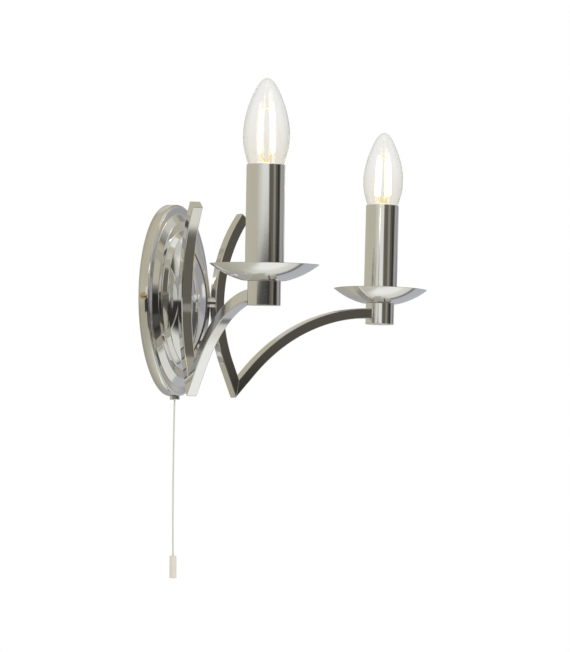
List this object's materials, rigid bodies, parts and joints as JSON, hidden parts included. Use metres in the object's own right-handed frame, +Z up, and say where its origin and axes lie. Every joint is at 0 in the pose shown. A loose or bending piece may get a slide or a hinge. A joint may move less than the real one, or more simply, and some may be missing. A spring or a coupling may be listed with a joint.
{
  "type": "wall sconce",
  "caption": "Chromed wall sconce with splayed candle arms, bowed square uprights, shallow drip cups, a stepped domed backplate and a pull-cord switch",
  "frame": {"origin": "centre of the wall bracket's back face, which lies on the wall", "axes": "+Z up, +Y into the wall, so the light faces -Y; +X runs across the wall to the right seen from the room"},
  "size_m": [0.4402, 0.1763, 0.3869],
  "materials": {
    "chrome": "chromed, bright with a faint satin grain",
    "zinc": "zinc plated steel",
    "brass": "bare brass",
    "white_plastic": "heat resistant moulding",
    "ivory_plastic": "ivory, smooth",
    "cord": "fine braided cord",
    "clear_glass": "clear blown glass",
    "cap_metal": "rolled screw cap",
    "insulator": "black vitrite",
    "filament": "coated light strips, lit"
  },
  "bodies": {
    "fixture": {"wall_bracket": "zinc", "terminal_block": "white_plastic", "earth_screw": "brass", "switch_body": "white_plastic", "switch_bezel": "chrome", "backplate": "chrome", "cover_screw_left": "brass", "arm_spacer_left": "chrome", "saddle_washer_left": "zinc", "arm_upright_left": "chrome", "arm_branch_left": "chrome", "end_cap_left": "chrome", "arm_stud_left": "zinc", "stud_nut_left": "zinc", "arm_hub_left": "chrome", "drip_cup_left": "chrome", "candle_tube_left": "chrome", "nipple_left": "zinc", "lock_nut_left": "zinc", "lampholder_left": "white_plastic", "holder_shell_left": "brass", "holder_contact_left": "brass", "cover_screw_right": "brass", "arm_spacer_right": "chrome", "saddle_washer_right": "zinc", "arm_upright_right": "chrome", "arm_branch_right": "chrome", "end_cap_right": "chrome", "arm_stud_right": "zinc", "stud_nut_right": "zinc", "arm_hub_right": "chrome", "drip_cup_right": "chrome", "candle_tube_right": "chrome", "nipple_right": "zinc", "lock_nut_right": "zinc", "lampholder_right": "white_plastic", "holder_shell_right": "brass", "holder_contact_right": "brass"},
    "bulb_left": {"bulb_cap_left": "cap_metal", "bulb_contact_left": "insulator", "bulb_glass_left": "clear_glass", "bulb_stem_left": "clear_glass", "bulb_filaments_left": "filament"},
    "bulb_right": {"bulb_cap_right": "cap_metal", "bulb_contact_right": "insulator", "bulb_glass_right": "clear_glass", "bulb_stem_right": "clear_glass", "bulb_filaments_right": "filament"},
    "plunger": {"switch_plunger": "white_plastic"},
    "cord": {"cord_knot": "cord", "pull_cord": "cord", "cord_pull": "ivory_plastic"}
  },
  "joints": [
    {"name": "bulb_left_out", "type": "slide", "parent": "fixture", "child": "bulb_left", "axis": [-0.0232, -0.0185, 0.9996], "range_m": [0, 0.06]},
    {"name": "bulb_right_out", "type": "slide", "parent": "fixture", "child": "bulb_right", "axis": [0.0232, -0.0185, 0.9996], "range_m": [0, 0.06]},
    {"name": "switch_pull", "type": "slide", "parent": "fixture", "child": "plunger", "axis": [0, 0, -1], "range_m": [0, 0.006], "stiffness_N_per_m": 600, "springref_m": -0.002},
    {"name": "cord_swing", "type": "hinge", "parent": "plunger", "child": "cord", "pos_m": [0, -0.0042, -0.079], "axis": [0, 1, 0], "range_deg": [-20, 20]}
  ]
}
